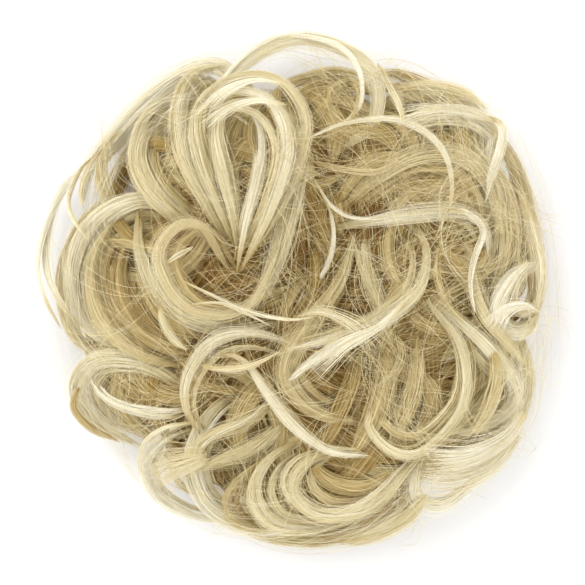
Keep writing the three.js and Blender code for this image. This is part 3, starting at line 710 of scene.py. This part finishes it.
class BedSurface:
    """The outer surface of the under-hair by bearing and by run, from 0 in the middle of the crown to 1 at
    the foot of the flank. The solid is read by rays: straight down on the crown, then turning outwards."""

    BEARINGS = 120
    RUNS = 49
    TURN_RADIUS = 38 * MM
    TURN_HEIGHT = 9 * MM
    CROWN_RUN = 0.45
    LOWEST_RAY = -55

    def __init__(self):
        self.search = tree_of([frame["nodes"]["hair_bed"]])
        self.points = np.zeros((self.BEARINGS, self.RUNS, 3))
        for i, j in np.ndindex(self.BEARINGS, self.RUNS):
            bearing = TURN * i / self.BEARINGS
            outward = Vector((*circle(bearing), 0))
            run = j / (self.RUNS - 1)
            if run <= self.CROWN_RUN:
                start = Vector(MIDDLE) + outward * (self.TURN_RADIUS * run / self.CROWN_RUN) + UP * ABOVE_ALL
                direction = -UP
            else:
                share = (run - self.CROWN_RUN) / (1 - self.CROWN_RUN)
                slope = math.radians(90 + (self.LOWEST_RAY - 90) * share)
                start = Vector(MIDDLE) + outward * self.TURN_RADIUS + UP * self.TURN_HEIGHT
                direction = outward * math.cos(slope) + UP * math.sin(slope)
            self.points[i, j] = self.search.ray_cast(start, direction)[0]
        self.points[..., 2] = np.maximum(self.points[..., 2], TABLE_GAP)
        along = np.gradient(self.points, axis=1)
        beside = np.roll(self.points, -1, axis=0) - np.roll(self.points, 1, axis=0)
        self.normals = unit(np.cross(along, beside))
        self.normals[:, 0] = UP
        foot = np.linalg.norm(self.points[:, -1, :2] - MIDDLE[:2], axis=1)
        self.foot_radii = around(foot, bearings(CORE_SEGMENTS))

    def at(self, bearing, run):
        place = (bearing / TURN * self.BEARINGS) % self.BEARINGS
        row = np.clip(run, 0, 1) * (self.RUNS - 1)
        i, j = place.astype(int), np.minimum(row.astype(int), self.RUNS - 2)
        u, v = (place - i)[..., None], (row - j)[..., None]
        near, beyond = i % self.BEARINGS, (i + 1) % self.BEARINGS

        def read(grid):
            low, high = (grid[near, k] * (1 - u) + grid[beyond, k] * u for k in (j, j + 1))
            return low * (1 - v) + high * v

        return read(self.points), unit(read(self.normals))


bed = BedSurface()
bed_map = HeightMap([frame["nodes"]["hair_bed"]]).soften(2)
top_map = HeightMap(list(frame["nodes"].values())).soften(3)


def fullness(along):
    """How full a lock is along its course, which runs to a point at both ends."""
    return np.sin(np.pi * np.clip(along, 0.004, 0.996)) ** 0.42


def surface_lock(bearing, run, width, raised):
    """A lock that hugs the under-hair along a course given by bearings and runs."""
    full = fullness(np.linspace(0, 1, len(run)))
    place, normal = bed.at(bearing, run)
    thick = 0.3 * width * full
    middle = place + normal * (raised + 0.3 * thick)[:, None]
    middle[:, 2] = np.maximum(middle[:, 2], 0.9 * thick + 0.2 * MM)
    return Lock(middle, np.cross(normal, np.gradient(middle, axis=0)), width / 2 * full, thick)


def flank_locks():
    """Locks that leave the crown and wind round the flank down to the table, most of them one way."""
    along = np.linspace(0, 1, 24)
    for k in range(FLANK_LOCKS):
        start = TURN * (k + chance.uniform(-0.3, 0.3)) / FLANK_LOCKS
        sweep = chance.uniform(0.7, 1.3) * (1 if chance.random() < 0.7 else -1)
        wave = 0.06 * np.sin(TURN * along * chance.uniform(0.7, 1.3) + chance.uniform(0, 6))
        top, foot = chance.uniform(0.3, 0.5), chance.uniform(0.66, 1.0)
        width = chance.uniform(8, 12) * MM
        raised = chance.uniform(0.0, 0.5) * MM
        run = top + (foot - top) * (1 - (1 - along) ** 1.8)
        yield surface_lock(start + sweep * along + wave, run, width, raised)


def crown_locks():
    """Locks that wind outwards over the crown from near its middle."""
    along = np.linspace(0, 1, 24)
    for k in range(CROWN_LOCKS):
        start = TURN * (k + chance.uniform(-0.4, 0.4)) / CROWN_LOCKS
        sweep = chance.normal(1.1, 0.45)
        first, last = chance.uniform(0.03, 0.16), chance.uniform(0.42, 0.56)
        width = chance.uniform(6, 9) * MM
        raised = chance.uniform(0.2, 0.9) * MM
        yield surface_lock(start + sweep * along**1.3, first + (last - first) * along, width, raised)


def laid_lock(plan, width, heights, clearance):
    """A lock laid along a plan course over some heights: it bridges their hollows, as stiff hair does."""
    plan = through(plan, 40)
    full = fullness(np.linspace(0, 1, len(plan)))
    thick = 0.25 * width * full
    middle = np.column_stack([plan, bridged(heights.at(plan[:, 0], plan[:, 1])) + clearance + thick])
    return Lock(middle, np.cross(UP, np.gradient(middle, axis=0)), width / 2 * full, thick)


def gap_locks():
    """The locks of GAP_LOCKS, with their tones."""
    for course, width, tone in GAP_LOCKS:
        outside = np.linalg.norm(course, axis=1).max() > 100 * OUTER_GAP_SHARE
        clearance = OUTER_GAP_CLEARANCE if outside else GAP_CLEARANCE
        yield laid_lock(on_plan(course), width * MM, bed_map, clearance), tone


def under_arcs():
    """Curved locks that lie crosswise on the under-hair, seen in the gaps between the curls."""
    golden_angle = math.pi * (3 - math.sqrt(5))
    for k in range(UNDER_ARCS):
        distance = HAIR_RADIUS * math.sqrt(chance.uniform(0.02, 0.55))
        centre = MIDDLE[:2] + distance * circle(k * golden_angle)
        radius = chance.uniform(9, 20) * MM * (1 + 0.25 * np.linspace(-1, 1, 9))
        angle = chance.uniform(0, TURN) + np.linspace(0, chance.uniform(2.2, 4.2), 9)
        plan = centre + radius[:, None] * circle(angle)
        yield laid_lock(plan, chance.uniform(3.5, 6.5) * MM, bed_map, -0.4 * MM)


def under_hair():
    """The mass of under-hair: its closed core, its locks, and the strands and fibres on it."""
    under_core()
    # Painted shade: the under-hair's tones are darker than the curls', and darkest on the crown in the middle of
    # the bun.
    families = {
        "under_hair_flank": (flank_locks, (0.35, 0.65)),
        "under_hair_crown": (crown_locks, (0.0, 0.3)),
        "under_hair_arcs": (under_arcs, (0.3, 0.58)),
    }
    for name, (family, tones) in families.items():
        hair = Fibres()
        locks = list(family())
        for lock, strip in zip(locks, strips(len(locks))):
            tone = chance.uniform(*tones)
            dress_lock(hair, lock, tone, strip=strip, root=tone, **UNDER_LOCK)
        hair.piece(name, "under_hair")
    locks_together("under_hair_gap_locks", list(gap_locks()), GAP_STRANDS, "under_hair")
    cover()
    felt()
    underside()


def under_core():
    """The closed core of the under-hair: down the roof and the wall of the bun's hollow, out over the foot
    and back over the outer surface to the middle of the crown."""
    bearing = bearings(CORE_SEGMENTS)
    flat = at_height(circle(bearing), 0 * bearing)
    start = Vector(MIDDLE) + UP * weft_high.z
    rows = [
        [bed.search.ray_cast(start, Vector(out) * math.cos(slope) + UP * math.sin(slope))[0] for out in flat]
        for slope in np.radians(ROOF_SLOPES)
    ]
    foot_height = 1.4 * TABLE_GAP
    for height in (weft_high.z + WALL_GAP, foot_height):
        rows.append(MIDDLE + flat * (WEFT_RADIUS + WALL_GAP) + [0, 0, height])
    rows.append(MIDDLE + flat * (0.93 * bed.foot_radii)[:, None] + [0, 0, foot_height])
    below = len(rows)
    for run in np.linspace(1, 0.015, 26):
        place, normal = bed.at(bearing, np.full(len(bearing), run))
        rows.append(place - normal * 0.5 * MM)
    rings = np.array([[tuple(p) for p in row] for row in rows])[None]
    # Painted shade: the outer surface, seen in gaps between the locks, has almost the darkest tone; the hidden
    # hollow and foot are lighter.
    tones = np.where(np.arange(len(rows)) < below, 0.34, 0.04)[None]
    core = Fibres()
    core.add(rings, tones, grain=900, length=0.14)
    core.piece("under_hair_core", "under_hair", ["hair_bed"])


def cover():
    """Strands combed over the whole of the under-hair from the crown to the table, close to its surface."""
    count = COVER_STRANDS
    along = np.linspace(0, 1, 12)
    first = even(0.02, 0.75, count)
    last = np.minimum(first + even(0.3, 0.5, count), 1.0)
    start = even(0, TURN, count)
    sweep = 0.55 + 0.35 * np.sin(3 * start) + about(0, 0.12, count)
    bearing = start + sweep * along + 0.02 * np.sin(9 * along + 5 * start)
    place, normal = bed.at(bearing, first + (last - first) * along)
    raised = even(-0.1, 0.7, count) * MM * np.sin(np.pi * along)
    # Painted shade: the cover strands are darker than the curls.
    tones = 0.3 + 0.09 * np.sin(17 * start) + about(0, 0.08, count)
    hair = Fibres()
    hair.add_ribbons(place + normal * raised[..., None], normal, COVER_WIDTH, tones)
    hair.piece("under_hair_cover", "under_hair")


def felt():
    """Single fibres that lie on the under-hair in every direction."""
    count = FELT_FIBRES
    along = np.linspace(-0.5, 0.5, 14)
    bearing = even(0, TURN, count) + about(0, 0.6, count) * along
    run = np.sqrt(even(0.002, 0.5, count)) + about(0, 0.4, count) * along + 0.08 * np.sin(5 * along + bearing)
    place, normal = bed.at(bearing, np.clip(run, 0.01, 0.9))
    lift = even(0.6, 2.6, count) * MM * (0.5 + np.cos(np.pi * along))
    # Painted shade: the felt's tones are darker than the curls'.
    tones = even(0.1, 0.55, count)
    hair = Fibres()
    hair.add_ribbons(place + normal * lift[..., None], normal, FINE_WIDTH, tones, length=0.02)
    hair.piece("under_hair_felt", "under_hair")


def underside():
    """Strands seen from below: from the weft out to the foot, and over the roof of the bun's hollow."""
    count = FOOT_STRANDS
    along = np.linspace(0, 1, 12)
    start = even(0, TURN, count)
    swirl = 0.2 + 0.22 * np.sin(5 * start) + about(0, 0.08, count)
    bearing = start + swirl * along**1.4
    inner = WEFT_RADIUS + 0.5 * MM
    radius = inner + (around(bed.foot_radii, start) * even(0.85, 1.08, count) - inner) * along
    height = TABLE_GAP * (even(0.3, 1.2, count) + 0.15 * np.sin(8 * along + 9 * start))
    paths = MIDDLE + at_height(radius[..., None] * circle(bearing), height)
    tones = 0.34 + 0.12 * np.sin(11 * start) + about(0, 0.09, count) - 0.15 * (1 - along) ** 3
    hair = Fibres()
    hair.add_ribbons(paths, -UP, FOOT_WIDTH, tones)

    count = ROOF_STRANDS
    middles_within, ends_within = 27 * MM, 29 * MM
    along = np.linspace(-0.5, 0.5, 10)
    turn = even(0, TURN, count)
    course = turn + about(0.9, 0.5, count) + about(0, 0.8, count) * along
    step = even(12, 28, count) * MM * along
    off = middles_within * np.sqrt(even(0, 1, count))
    plan = off[..., None] * circle(turn) + step[..., None] * circle(course)
    plan *= np.minimum(1, ends_within / np.maximum(np.linalg.norm(plan, axis=-1, keepdims=True), 1e-9))
    starts = MIDDLE + np.insert(plan, 2, weft_high.z, axis=-1)
    roof = np.array([[tuple(bed.search.ray_cast(Vector(place), UP)[0]) for place in row] for row in starts])
    roof[..., 2] -= even(0.2, 1.4, count) * MM
    hair.add_ribbons(roof, -UP, ROOF_WIDTH, even(0.1, 0.45, count))
    hair.piece("under_hair_underside", "under_hair")


def beside(lock, scale, turn):
    """A lock's middle line, scaled and turned in plan about the middle of its two ends."""
    middle = lock.middle.copy()
    base = 0.5 * (middle[0, :2] + middle[-1, :2])
    turning = [[math.cos(turn), math.sin(turn)], [-math.sin(turn), math.cos(turn)]]
    middle[:, :2] = base + scale * (middle[:, :2] - base) @ turning
    return middle


def inner_lock(lock, scale):
    """A smaller lock that lies inside the bend of another, and lower."""
    middle = beside(lock, scale, 0)
    middle[:, :2] += chance.normal(0, 0.7, 2) * MM
    middle[:, 2] = np.maximum(middle[:, 2] - chance.uniform(1.5, 3.5) * MM, 2.5 * MM)
    share = chance.uniform(0.65, 0.9)
    return Lock(middle, lock.side, share * lock.half, share * lock.thick, lock.slim)


def outer_lock(lock):
    """A wisp that keeps company with a curl, a little off its bend and on top of it."""
    turn = chance.normal(0, 0.09)
    middle = beside(lock, chance.uniform(0.92, 1.05), turn)
    middle[:, :2] += chance.normal(0, 1.2, 2) * MM
    middle[:, 2] += 0.5 * lock.thick.max() + chance.uniform(-1.0, 0.6) * MM
    half = chance.uniform(*OUTER_WIDTH) / 2 * MM * lock.half / lock.half.max()
    return Lock(middle, lock.side, half, 0.7 * half, 1.0)


def curls():
    """Each curl of the solid model as a piece of its own, then the inner and outer locks of its family."""
    slots = {part["node"]: part["material_slot"] for part in frame["record"]["subparts"]}
    for family, slim in SLIM.items():
        inner, outer = [], []
        for name in sorted(n for n in frame["nodes"] if n.startswith(family + "_curl_")):
            hair = Fibres()
            tone = SLOT_TONE[slots[name]] + PALER.get(name, 0) + chance.normal(0, 0.05)
            lock = lock_of_node(frame["nodes"][name])
            lock.slim = slim * SLIMMER.get(name, 1)
            strands = min(MOST_STRANDS, 12 + round(STRANDS_PER_MM * 2 * lock.slim * lock.half.max() / MM))
            dress_lock(hair, lock, tone, strands, FINE_PER_LOCK)
            hair.piece(name + "_hair", slots[name], [name])
            scales = () if name in OPEN_CURLS else INNER_SCALES[family]
            # Painted shade: inner locks are darker than their curl, as they lie lower inside its bend.
            inner += [(inner_lock(lock, scale), tone - chance.uniform(0.05, 0.22)) for scale in scales]
            outer.append((outer_lock(lock), tone + chance.uniform(-0.1, 0.15)))
        locks_together(family + "_inner_locks", inner, INNER_STRANDS, "golden_hair")
        if family != "crown":
            locks_together(family + "_outer_locks", outer[::2], OUTER_STRANDS, "pale_hair")


def locks_together(name, locks, strands, slot):
    """One piece of several locks, given with their tones."""
    hair = Fibres()
    for (lock, tone), strip in zip(locks, strips(len(locks))):
        dress_lock(hair, lock, tone, strands, strip=strip, **SMALL_LOCK)
    hair.piece(name, slot)


def wisps():
    """The loose wisps of WISPS, which lie on the curls."""
    hair = Fibres()
    for (course, width, tone), strip in zip(WISPS, strips(len(WISPS))):
        lock = laid_lock(on_plan(course), width * MM, top_map, 0.2 * MM)
        dress_lock(hair, lock, tone, 4 + round(13 * width), 8, strip)
    hair.piece("loose_wisps", "pale_hair")


def fans():
    """The fans: fibres that leave one lock and spread over what lies below."""
    stations = 18
    share = np.linspace(0, 1, stations)
    hair = Fibres()
    for (course, widths, tone, count), strip in zip(FANS, strips(len(FANS))):
        plan = through(on_plan(course), stations)
        ahead = unit(np.gradient(plan, axis=0))
        spread = np.interp(share**1.4, [0, 1], widths) / 2 * MM
        table = np.column_stack([plan, -ahead[:, 1], ahead[:, 0], spread])
        off = about(0, 0.5, count)
        first, last = even(0, 0.3, count) ** 1.5, even(0.75, 1.0, count)
        bow = about(0, 0.12, count) * np.sin(np.pi * share * even(0.8, 2, count))
        place = (stations - 1) * (first + (last - first) * share)
        row = np.minimum(place.astype(int), stations - 2)
        part = (place - row)[..., None]
        middle, across, wide = np.split(table[row] * (1 - part) + table[row + 1] * part, [2, 4], axis=-1)
        flat = middle + across * wide * (off + bow)[..., None]
        ground = bridged(top_map.at(flat[..., 0], flat[..., 1]), 2)
        height = np.maximum(ground, 6 * MM) + even(-0.5, 0.7, count) * MM
        # Painted shade: each fibre darkens towards the gathered end, where it dives into the hair.
        tones = root_shaded(tone + about(0, 0.08, count), 0.1 + share)
        hair.add_ribbons(at_height(flat, height), UP, FAN_FIBRE_WIDTH, tones, strip)
    hair.piece("frayed_fans", "pale_hair")


def flyaways():
    """Fibres that wander over the crown and the flanks, and a few that stand out past the rim."""
    stations = 18
    along = np.linspace(0, 1, stations)
    for name, (sheaves, fibres, middle, (near, far), lengths, radii, spread, width, tones) in SHEAVES.items():
        share = np.sqrt(chance.uniform(near**2, far**2, sheaves))
        bearing = chance.uniform(0, TURN, sheaves)
        length = chance.uniform(*lengths, sheaves) * MM
        bend = length / (chance.uniform(*radii, sheaves) * MM)
        if name == "rim_flyaways":
            heading = bearing + np.pi / 2 + chance.normal(0, 0.16, sheaves)
        else:
            heading = chance.uniform(0, TURN, sheaves)
            bend = bend * chance.choice([-1, 1], sheaves)
        centre = MIDDLE[:2] + HAIR_RADIUS * (np.array(middle) + share[:, None] * circle(bearing))
        count = sheaves * fibres
        sheaf = (heading, bend, length, bearing)
        heading, bend, length, bearing = (np.repeat(values, fibres)[:, None] for values in sheaf)
        heading = heading + about(0, 0.07, count)
        bend = bend * even(0.7, 1.3, count)
        length = length * even(0.6, 1.1, count)
        turn = heading + bend * (along - 0.5) + 0.2 * np.sin(TURN * along * 0.8 + bearing)
        course = np.cumsum(circle(turn) * (length / (stations - 1))[..., None], axis=1)
        offset = chance.normal(0, 0.5, (count, 1, 2)) * spread * MM
        course = course - course.mean(axis=1, keepdims=True)
        away = np.repeat(centre, fibres, axis=0)[:, None] + offset + course - MIDDLE[:2]
        distance = np.linalg.norm(away, axis=-1, keepdims=True)
        plan = MIDDLE[:2] + away * np.minimum(1, FARTHEST_FIBRE / distance)
        rise = even(0.0, 2.0, count) * MM * np.sin(np.pi * along)
        height = np.maximum(bridged(top_map.at(plan[..., 0], plan[..., 1])) - 0.3 * MM, 5 * MM) + rise
        tones = even(*tones, count)
        leaning = unit(chance.normal(0, 0.5, (count, 1, 3)) + UP)
        hair = Fibres()
        hair.add_ribbons(at_height(plan, height), leaning, width * MM, tones, length=0.03)
        hair.piece(name, "pale_hair")


def ring_piece(name, radius, height, replaced, slot):
    """A closed ring from radii and heights [segment, corner], anticlockwise in section."""
    segments, sides = radius.shape
    turn = bearings(segments)[:, None]
    corners = at_height(MIDDLE[:2] + radius[..., None] * circle(turn), height)
    number = np.arange(segments * sides).reshape(segments, sides)
    onward = np.roll(number, -1, axis=1)
    faces = np.stack([np.roll(number, -1, axis=0), np.roll(onward, -1, axis=0), onward, number], axis=-1)
    station = (np.arange(segments)[:, None, None] + np.array([1, 1, 0, 0])) / segments
    side = (np.arange(sides)[:, None] + np.array([0, 1, 1, 0])) / sides
    bake = np.stack(np.broadcast_arrays(station, side), axis=-1)
    maps = {"OFBake": bake, "grain": radius.mean() * bake * [TURN, 1]}
    make_piece(name, corners.reshape(-1, 3), faces.reshape(-1, 4).tolist(), maps, slot, [replaced])


def elastic():
    """The covered elastic: a ring whose woven cover is gathered in small ripples."""
    ripples = 60
    depth = 0.05
    angle = bearings(14)
    thick = (ring_high.z - ring_low.z) / 2
    reach = thick * (1 - depth * (0.5 + 0.5 * np.cos(ripples * bearings(240))))[:, None]
    radius = (ring_high.x - ring_low.x) / 2 - thick + reach * np.cos(angle)
    height = (ring_low.z + ring_high.z) / 2 + reach * np.sin(angle)
    ring_piece("elastic_cover", radius, height, "elastic_band", "elastic_cover")


def weft():
    """The sewn weft: a ring of C section whose folded hair shows as close ribs."""
    lip, wall, depth, bevel, fold = (length * MM for length in (1.0, 2.0, 4.5, 0.4, 0.2))
    height = weft_high.z
    outer = WEFT_RADIUS
    inner = outer - wall
    edge = inner - depth
    section = np.array([
        (edge, 0.0), (inner, 0.0), (outer - bevel, 0.0), (outer, bevel), (outer, height - bevel),
        (outer - bevel, height), (inner, height), (edge, height), (edge - fold, height - lip / 2),
        (edge, height - lip), (inner, height - lip), (inner, lip), (edge, lip), (edge - fold, lip / 2),
    ])
    ribs = np.cos(120 * bearings(360))[:, None]
    radius = section[:, 0] + 0.12 * MM * ribs * np.where(section[:, 0] > inner, -1, 1)
    raised = section[:, 1] + 0.1 * MM * (0.5 + 0.5 * ribs) * (section[:, 1] < lip)
    ring_piece("weft_cover", radius, raised, "weft_ring", "weft")


def stage():
    """A pale floor, a soft key light from the upper left, a broad fill and the camera straight above."""
    scene = bpy.context.scene
    scene.view_settings.view_transform = "Standard"
    corners = [(-3, -3, 0), (3, -3, 0), (3, 3, 0), (-3, 3, 0)]
    paper = {"Base Color": (0.93, 0.93, 0.93, 1), "Roughness": 0.9}
    floor_mesh = bpy.data.meshes.new("floor")
    floor_mesh.from_pydata(corners, [], [(0, 1, 2, 3)])
    floor_mesh.materials.append(new_material("pale_floor", lambda tree: paper))
    floor = placed("floor", floor_mesh)
    floor.location.z = -0.1 * MM

    world = bpy.data.worlds.new("studio")
    world.use_nodes = True
    background = world.node_tree.nodes["Background"]
    background.inputs["Color"].default_value = (1.0, 0.995, 0.99, 1)
    background.inputs["Strength"].default_value = 1.0
    scene.world = world

    target = Vector(MIDDLE) + UP * 20 * MM
    lamps = {"key": ((-0.5, 0.42, 0.75), 0.9, 5.0), "fill": ((0.55, -0.4, 0.8), 1.0, 3.0)}
    for name, (place, side, power) in lamps.items():
        light = bpy.data.lights.new(name, "AREA")
        light.size = side
        light.energy = power
        holder = placed(name, light, place)
        holder.rotation_mode = "QUATERNION"
        holder.rotation_quaternion = (target - holder.location).to_track_quat("-Z", "Y")

    picture_width = 162.5 * MM
    camera_data = bpy.data.cameras.new("camera")
    camera_data.lens = 110
    camera_data.sensor_width = 36
    camera_data.clip_start = 0.01
    distance = picture_width * camera_data.lens / camera_data.sensor_width
    scene.camera = placed("camera", camera_data, target + Vector((-4.3 * MM, -1.0 * MM, distance)))


under_hair()
curls()
wisps()
fans()
flyaways()
elastic()
weft()
stage()
